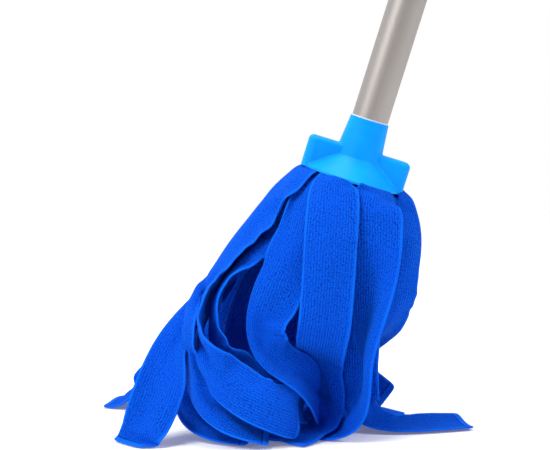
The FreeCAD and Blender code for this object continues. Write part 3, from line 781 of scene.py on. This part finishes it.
def pale_floor():
    """Plain near the mop; further out it glows as the white studio behind it does."""
    graph = Graph("pale_floor")
    place = graph.object_place()
    distance = graph.node("VectorMath", operation="LENGTH")
    graph.feed(distance.inputs[0], place)
    far = graph.ramp(distance.outputs["Value"], PLAIN_FLOOR, GLOWING_FLOOR)
    colour = graph.tint(far, (0.92, 0.92, 0.92, 1), (0.0, 0.0, 0.0, 1))
    glow = graph.blend(far, 0.12, 1.0)
    return graph.set(
        Base_Color=colour, Roughness=0.9, Specular_IOR_Level=0.0,
        Emission_Color=(1.0, 1.0, 1.0, 1), Emission_Strength=glow,
    )


def studio():
    """White walls behind and to the left, and dimmer ones in front, to the right and overhead."""
    world = bpy.data.worlds.new("studio")
    world.use_nodes = True
    tree = world.node_tree
    place = tree.nodes.new("ShaderNodeTexCoord")
    towards = tree.nodes.new("ShaderNodeVectorMath")
    towards.operation = "DOT_PRODUCT"
    towards.inputs[1].default_value = BRIGHT_SIDE
    fade = tree.nodes.new("ShaderNodeMapRange")
    fade.interpolation_type = "SMOOTHSTEP"
    for socket, number in zip(fade.inputs[1:5], (0.2, 0.62, DIM_WALLS, BRIGHT_WALLS)):
        socket.default_value = number
    tree.links.new(place.outputs["Generated"], towards.inputs[0])
    tree.links.new(towards.outputs["Value"], fade.inputs[0])
    background = tree.nodes["Background"]
    background.inputs["Color"].default_value = (1.0, 1.0, 1.0, 1)
    tree.links.new(fade.outputs[0], background.inputs["Strength"])
    return world


# ---------------------------------------------------------------- strips as pieces

def strip_piece(name, grid, material):
    """One strip as a soft-edged sheet of its own, in place of its CAD solid."""
    mesh = bpy.data.meshes.new(name)
    mesh.from_pydata([tuple(place * MM) for place in grid.reshape(-1, 3)], [], grid_faces(0))
    layer = mesh.uv_layers.new(name=KNIT_UV)
    for loop in mesh.loops:
        row, column = divmod(loop.vertex_index, COLUMNS)
        layer.data[loop.index].uv = (
            column * STRIP_WIDTH / (COLUMNS - 1), row * STRIP_LENGTH / (ROWS - 1)
        )
    mesh.polygons.foreach_set("use_smooth", [True] * len(mesh.polygons))
    mesh.materials.append(material)
    piece = link(bpy.data.objects.new(name + "_cloth", mesh))
    thick = piece.vertex_groups.new(name="thick")
    for row in range(ROWS):
        for column in range(COLUMNS):
            if column in (0, COLUMNS - 1) or row == ROWS - 1:
                thick.add([row * COLUMNS + column], 1.0, "REPLACE")
    finer = piece.modifiers.new("Finer", "SUBSURF")
    finer.levels = finer.render_levels = 1
    body = piece.modifiers.new("Thickness", "SOLIDIFY")
    body.thickness = STRIP_THICKNESS * MM
    body.offset = 0
    body.vertex_group = thick.name
    body.thickness_vertex_group = 0.8
    soft = piece.modifiers.new("Soft_edges", "SUBSURF")
    soft.levels = soft.render_levels = 1
    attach(piece, HEAD_BODY)
    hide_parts(name)
    return piece


hanging = {name: hanging_grid(azimuth, layer) for name, azimuth, layer in strip_places()}
guided = {name: guided_grid(name, hanging[name]) for name in hanging}
lying = drape(hanging, guided)
knit = microfibre()
for name, grid in lying.items():
    strip_piece(name, grid, knit)

# ---------------------------------------------------------------- rigid pieces

FINISHES = {
    "cap_plastic": cap_plastic(),
    "plug_plastic": plug_plastic(),
    "washer_rubber": washer_rubber(),
    "tube_metal": tube_metal(),
    "screw_steel": screw_steel(),
}
for subpart in record["subparts"]:
    if subpart["material_slot"] in FINISHES:
        node = frame["nodes"][subpart["node"]]
        node.data.materials.clear()
        node.data.materials.append(FINISHES[subpart["material_slot"]])

# ---------------------------------------------------------------- floor, light and camera

FLOOR_RADIUS = 30.0
FLOOR_SIDES = 96
rim = [
    (FLOOR_RADIUS * math.cos(turn), FLOOR_RADIUS * math.sin(turn), 0)
    for turn in (2 * math.pi * side / FLOOR_SIDES for side in range(FLOOR_SIDES))
]
floor_mesh = bpy.data.meshes.new("floor")
floor_mesh.from_pydata(rim, [], [tuple(range(FLOOR_SIDES))])
floor_mesh.materials.append(pale_floor())
link(bpy.data.objects.new("floor", floor_mesh))


def aim(obj, target):
    obj.rotation_euler = (Vector(target) - obj.location).to_track_quat("-Z", "Y").to_euler()


def soft_light(name, place, target, width, power):
    lamp = bpy.data.lights.new(name, "AREA")
    lamp.shape = "DISK"
    lamp.size = width
    lamp.energy = power
    obj = link(bpy.data.objects.new(name, lamp))
    obj.location = place
    aim(obj, target)


HEAD_CENTRE = (0.02, 0, 0.11)
soft_light("key", (-0.9, -0.8, 1.6), HEAD_CENTRE, 0.9, 25)
soft_light("left", (-1.3, -0.9, 0.7), (0.08, 0, 0.3), 1.1, 7)
soft_light("fill", (1.4, -0.3, 1.2), HEAD_CENTRE, 0.9, 14)
soft_light("top", (0.1, 0.3, 2.2), HEAD_CENTRE, 1.2, 32)

bpy.context.scene.world = studio()
bpy.context.scene.view_settings.view_transform = "Standard"

SENSOR_WIDTH = 36.0
FOCAL_LENGTH = 106.5
CAMERA_PLACE = (0.0016, -1.1, 0.27)
CAMERA_TARGET = (0.0016, 0, 0.1406)
lens = bpy.data.cameras.new("camera")
lens.sensor_width = SENSOR_WIDTH
lens.lens = FOCAL_LENGTH
camera = link(bpy.data.objects.new("camera", lens))
camera.location = CAMERA_PLACE
aim(camera, CAMERA_TARGET)
bpy.context.scene.camera = camera
